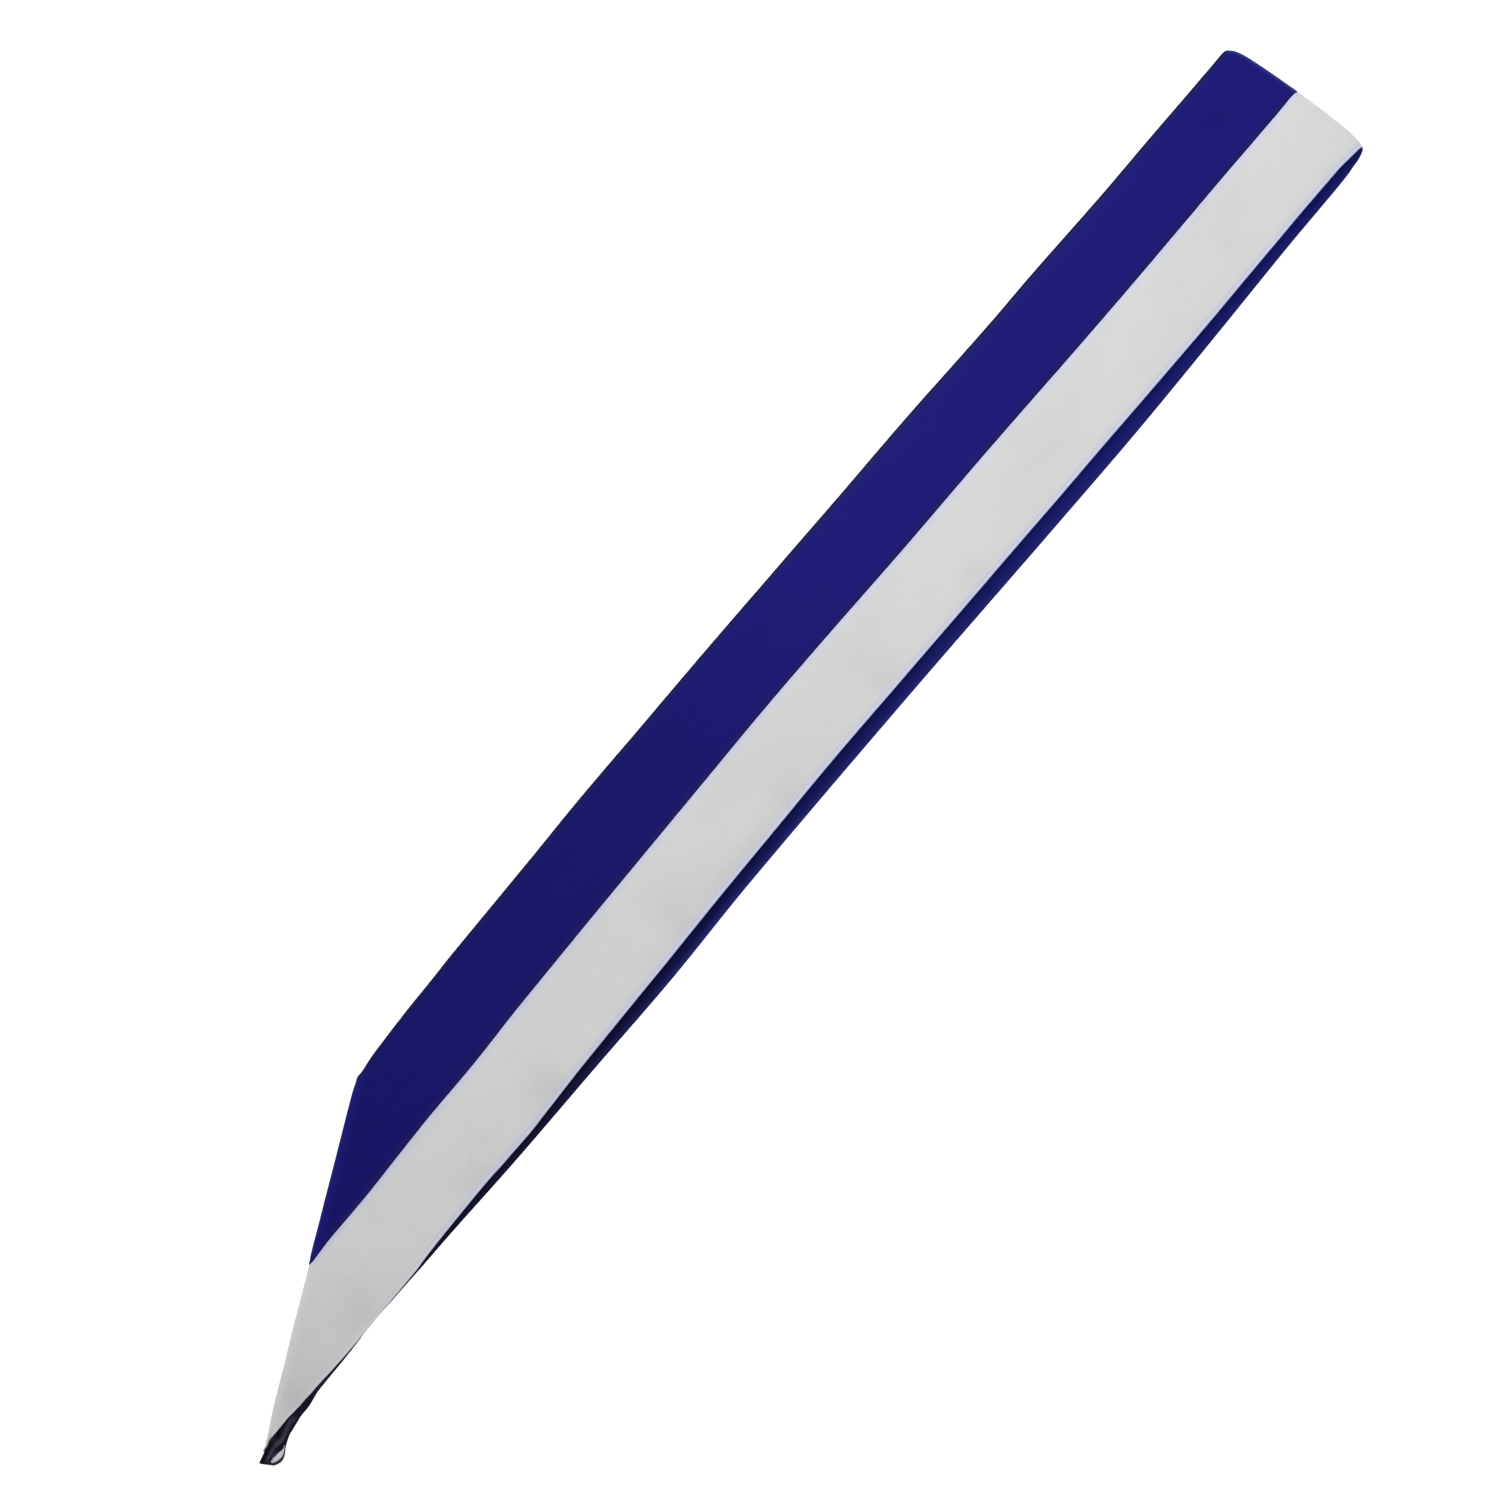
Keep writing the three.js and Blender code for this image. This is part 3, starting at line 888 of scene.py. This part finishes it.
def satin(name, colour, shade, worn_and_sheen, tint, painted_light_factor, fade, rim, roughness, specular, sheen, point=None):
    """A satin cloth: its colour, a darker shade in blotches and streaks, a lighter tone where the
    edges are worn, the same tone as a painted sheen on the hem at the join, and a tint beside the
    sewn lines. From one distance round the loop to another it fades to a deeper tone, which is
    painted light: its sheen falling off away from the fold. Along its outer edge it fades to its
    rim. Painted shade darkens it towards the tip and in the dents."""
    nodes = Nodes(name)
    vector, across, along = cloth_coordinates(nodes)
    blotch = nodes.cloth_noise(vector, *BLOTCHES)
    streak = nodes.cloth_noise(vector, *STREAKS)
    mottled = nodes.plus(nodes.times(blotch, BLOTCH_SHARE), nodes.times(streak, STREAK_SHARE))
    base = nodes.blend(nodes.map(mottled, *MOTTLE_RANGE), shade, colour)
    from_fold = nodes.math("ABSOLUTE", along)
    # Painted light: away from the shoulder fold the colour is scaled as its sheen falls off
    base = nodes.blend(nodes.map(from_fold, *fade), base, nodes.scaled(base, painted_light_factor))
    # Painted shade towards the tip
    base = nodes.blend(nodes.map(from_fold, *TIP_RANGE), base, nodes.scaled(base, PAINTED_TIP_DARKER))
    # Painted shade in the dents and soft folds
    base = nodes.blend(nodes.attribute("shade"), base, nodes.scaled(base, PAINTED_DENT_DARKER))
    from_seam = nodes.math("ABSOLUTE", across)
    from_edge = nodes.math("SUBTRACT", WIDTH, from_seam)
    at_seam = nodes.times(
        nodes.map(from_seam, *TINT_RANGE), nodes.map(from_fold, *SEAM_TINT_RANGE)
    )
    at_edge = nodes.times(
        nodes.map(from_edge, *TINT_RANGE), nodes.map(from_fold, *EDGE_TINT_RANGE)
    )
    base = nodes.blend(nodes.math("MAXIMUM", at_seam, at_edge), base, tint)
    base = nodes.blend(nodes.map(from_edge, *RIM_RANGE), base, nodes.scaled(base, rim))
    from_join = nodes.attribute("from_join")
    # Painted sheen on the rolled hem at the join, in the lighter tone that also marks the worn
    # edges
    base = nodes.blend(nodes.map(from_join, *PAINTED_JOIN_SHEEN_RANGE), base, worn_and_sheen)
    rub = nodes.cloth_noise(vector, *RUBS)
    worn = nodes.times(nodes.map(from_edge, *WORN_RANGE), nodes.map(rub, *RUB_RANGE))
    base = nodes.blend(worn, base, worn_and_sheen)
    if point:
        base = open_point(nodes, vector, base, from_fold, from_join, **point)
    nodes.link(base, nodes.shader.inputs["Base Color"])
    gloss = nodes.map(streak, *GLOSS_RANGE, roughness - SMOOTHER, roughness + ROUGHER)
    rough = nodes.plus(gloss, nodes.times(worn, WORN_ROUGHER))
    nodes.link(rough, nodes.shader.inputs["Roughness"])
    nodes.fixed(Specular_IOR_Level=specular, Sheen_Weight=sheen, Sheen_Roughness=0.5)
    soft = nodes.bump(nodes.cloth_noise(vector, *SOFT_CREASES), *CREASE_BUMP)
    fine = nodes.bump(weave(nodes, vector, across, along), *WEAVE_BUMP, soft)
    nodes.link(fine, nodes.shader.inputs["Normal"])
    return nodes.material


# Sewing thread: how often its lot and its ply change in a metre, how much lighter it gets, and
# its ranges of colour, ply and roughness
LOT_SCALE = 60.0
LOT_RANGE = (0.35, 0.65)
PLY_SCALE = 4200.0
PLY_RANGE = (0.3, 0.7, 0.45, 0.6)
PLY_BUMP = (0.5, 0.00004)
THREAD_LIGHTER = 1.35
THREAD_LIFT = 0.01


def thread(name, colour, specular):
    """Twisted sewing thread."""
    nodes = Nodes(name)
    place = nodes.add("ShaderNodeTexCoord").outputs["Object"]
    light = rgba(*(min(c * THREAD_LIGHTER + THREAD_LIFT, 1.0) for c in colour[:3]))
    lot = nodes.map(nodes.noise(place, LOT_SCALE, 2.0), *LOT_RANGE)
    nodes.link(nodes.blend(lot, colour, light), nodes.shader.inputs["Base Color"])
    ply = nodes.noise(place, PLY_SCALE, 1.0)
    nodes.link(nodes.map(ply, *PLY_RANGE), nodes.shader.inputs["Roughness"])
    nodes.link(nodes.bump(ply, *PLY_BUMP), nodes.shader.inputs["Normal"])
    nodes.fixed(Specular_IOR_Level=specular)
    return nodes.material


# In each cloth, the factor and the range by which its colour changes away from the shoulder fold
# are painted light, its sheen falling off
BLUE = dict(
    colour=rgba(0.0113, 0.0094, 0.195),
    shade=rgba(0.0105, 0.0087, 0.181),
    # The lighter tone of worn edges, also used as the painted sheen on the hem at the join
    worn_and_sheen=rgba(0.0150, 0.0115, 0.210),
    tint=rgba(0.0150, 0.0120, 0.120),
    painted_light_factor=0.81,
    fade=(380.0, 600.0),
    rim=0.74,
    roughness=0.5,
    specular=0.04,
    sheen=0.0,
)
WHITE = dict(
    colour=rgba(0.708, 0.708, 0.702),
    shade=rgba(0.678, 0.681, 0.676),
    worn_and_sheen=rgba(0.728, 0.728, 0.728),
    tint=rgba(0.615, 0.630, 0.840),
    painted_light_factor=1.03,
    fade=(480.0, 800.0),
    rim=1.08,
    roughness=0.5,
    specular=0.3,
    sheen=0.03,
)
NAVY = dict(
    colour=rgba(0.0170, 0.0215, 0.290),
    shade=rgba(0.0150, 0.0185, 0.262),
    worn_and_sheen=rgba(0.0220, 0.0260, 0.250),
    tint=rgba(0.0220, 0.0260, 0.220),
    painted_light_factor=0.33,
    fade=(200.0, 760.0),
    rim=1.0,
    roughness=0.38,
    specular=0.04,
    sheen=0.0,
    point=dict(
        # dusk is the painted shade far from the fold
        painted_dusk=rgba(0.0120, 0.0095, 0.0400),
        grey=rgba(0.0340, 0.0310, 0.0480),
        dark=rgba(0.0080, 0.0066, 0.0150),
        # The painted highlight on the ridge and the painted shade in the crease
        ridge=rgba(0.1050, 0.1000, 0.1450),
        crease=rgba(0.0060, 0.0045, 0.0240),
    ),
)
BLUE_THREAD_SPECULAR = 0.15
WHITE_THREAD_SPECULAR = 0.3
NAVY_THREAD_SPECULAR = 0.2

# ---------------------------------------------------------------- the pieces
blue_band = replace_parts(cloth_ring("blue_satin_ribbon", ribbon_section(-1)), "blue_ribbon")
white_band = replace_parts(
    cloth_ring("white_satin_ribbon", ribbon_section(1), cut=True), "white_ribbon"
)
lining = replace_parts(cloth_ring("navy_satin_lining", lining_section(), marked=True), "lining")
white_hem = turned_hem("turned_white_hem")

# Where the lines of stitches run, and the places on them that have none
EDGE_ACROSS = WIDTH - STITCH_LINE
SEAM_ACROSS = SEAM_HALF_GAP + STITCH_LINE
EDGE_TOP = float(ribbon_height(STITCH_LINE, WIDTH)) + STITCH_LIFT
SEAM_TOP = float(ribbon_height(WIDTH, STITCH_LINE)) + STITCH_LIFT
LINING_TOP = -(float(cloth_height(STITCH_LINE)) - STITCH_GROOVE) - STITCH_LIFT
AT_THE_TIP = (ROUND - TIP_CUT_REACH, ROUND + 1 + TIP_CUT_REACH)
UNDER_THE_HEM = (3.984, 4.075)

blue_stitches = stitches(
    "blue_stitching",
    [round_line(-EDGE_ACROSS, EDGE_TOP), round_line(-SEAM_ACROSS, SEAM_TOP)],
)
white_stitches = stitches(
    "white_stitching",
    [round_line(EDGE_ACROSS, EDGE_TOP, AT_THE_TIP), round_line(SEAM_ACROSS, SEAM_TOP)],
)
lining_stitches = stitches(
    "lining_stitching",
    [round_line(-EDGE_ACROSS, LINING_TOP), round_line(EDGE_ACROSS, LINING_TOP, UNDER_THE_HEM)],
)

blue_cloth = satin("blue_satin_cloth", **BLUE)
white_cloth = satin("white_satin_cloth", **WHITE)
navy_cloth = satin("navy_lining_cloth", **NAVY)
for piece, material in (
    (blue_band, blue_cloth),
    (white_band, white_cloth),
    (white_hem, white_cloth),
    (lining, navy_cloth),
    (blue_stitches, thread("blue_thread", BLUE["colour"], BLUE_THREAD_SPECULAR)),
    (white_stitches, thread("white_thread", WHITE["colour"], WHITE_THREAD_SPECULAR)),
    (lining_stitches, thread("navy_thread", NAVY["colour"], NAVY_THREAD_SPECULAR)),
):
    piece.data.materials.append(material)

# ---------------------------------------------------------------- floor, light and camera
# In metres and watts
FLOOR_HALF = 4.0
FLOOR_DROP = 0.0002
FLOOR_CLOUD_SCALE = 3.0
FLOOR_DARK = rgba(0.90, 0.90, 0.90)
FLOOR_LIGHT = rgba(0.93, 0.93, 0.93)
FLOOR_GLOW = 0.6
SKY_STRENGTH = 0.36
LIGHT_TARGET = Vector((0.0, 0.1, 0.0))
KEY_LIGHT = dict(place=(-1.3, 0.7, 1.1), size=0.8, power=21.4)
FILL_LIGHT = dict(place=(0.3, 0.1, 1.2), size=1.2, power=4.4)


def make_floor():
    mesh = bpy.data.meshes.new("floor")
    h = FLOOR_HALF
    corners = [(-h, -h), (h, -h), (h, h), (-h, h)]
    mesh.from_pydata([(x, y, -FLOOR_DROP) for x, y in corners], [], [(0, 1, 2, 3)])
    floor = bpy.data.objects.new("floor", mesh)
    bpy.context.collection.objects.link(floor)
    nodes = Nodes("floor_paint")
    place = nodes.add("ShaderNodeTexCoord").outputs["Object"]
    cloud = nodes.noise(place, FLOOR_CLOUD_SCALE, 3.0)
    nodes.link(nodes.blend(cloud, FLOOR_DARK, FLOOR_LIGHT), nodes.shader.inputs["Base Color"])
    nodes.fixed(
        Roughness=0.9,
        Specular_IOR_Level=0.1,
        Emission_Color=rgba(1.0, 1.0, 1.0),
        Emission_Strength=FLOOR_GLOW,
    )
    mesh.materials.append(nodes.material)


def make_light(name, place, size, power):
    light = bpy.data.lights.new(name, "AREA")
    light.shape = "SQUARE"
    light.size = size
    light.energy = power
    made = bpy.data.objects.new(name, light)
    made.location = place
    made.rotation_euler = (LIGHT_TARGET - Vector(place)).to_track_quat("-Z", "Y").to_euler()
    bpy.context.collection.objects.link(made)


# The camera as fitted to the photograph
CAMERA_TURN = 0.07444952523761769
CAMERA_LEAN = 0.20943951023931956
CAMERA_ROLL = math.radians(40.31041716404913)
CAMERA_DISTANCE = 1.1
CAMERA_NEAR = 0.05
CAMERA_FAR = 50.0
FOCAL_PIXELS = 1891.6457889978882
IMAGE_PIXELS = 1501
SENSOR = 36.0
AIM = Vector((-0.000891, -0.015846, 0.0))


def make_camera():
    back = Vector(
        (
            math.sin(CAMERA_LEAN) * math.cos(CAMERA_TURN),
            -math.sin(CAMERA_TURN),
            math.cos(CAMERA_LEAN) * math.cos(CAMERA_TURN),
        )
    )
    level = Vector((0, 1, 0))
    up = (level - back * level.dot(back)).normalized()
    right = up.cross(back)
    image_right = right * math.cos(CAMERA_ROLL) + up * math.sin(CAMERA_ROLL)
    image_up = up * math.cos(CAMERA_ROLL) - right * math.sin(CAMERA_ROLL)
    data = bpy.data.cameras.new("camera")
    data.sensor_width = SENSOR
    data.lens = SENSOR * FOCAL_PIXELS / IMAGE_PIXELS
    data.clip_start, data.clip_end = CAMERA_NEAR, CAMERA_FAR
    camera = bpy.data.objects.new("camera", data)
    turned = Matrix((image_right, image_up, back)).transposed().to_4x4()
    camera.matrix_world = Matrix.Translation(AIM + back * CAMERA_DISTANCE) @ turned
    bpy.context.collection.objects.link(camera)
    bpy.context.scene.camera = camera


def make_world():
    world = bpy.data.worlds.new("studio")
    world.use_nodes = True
    background = world.node_tree.nodes["Background"]
    background.inputs["Color"].default_value = rgba(1.0, 1.0, 1.0)
    background.inputs["Strength"].default_value = SKY_STRENGTH
    bpy.context.scene.world = world


make_floor()
make_world()
make_light("key", **KEY_LIGHT)
make_light("fill", **FILL_LIGHT)
make_camera()
bpy.context.scene.view_settings.view_transform = "Standard"
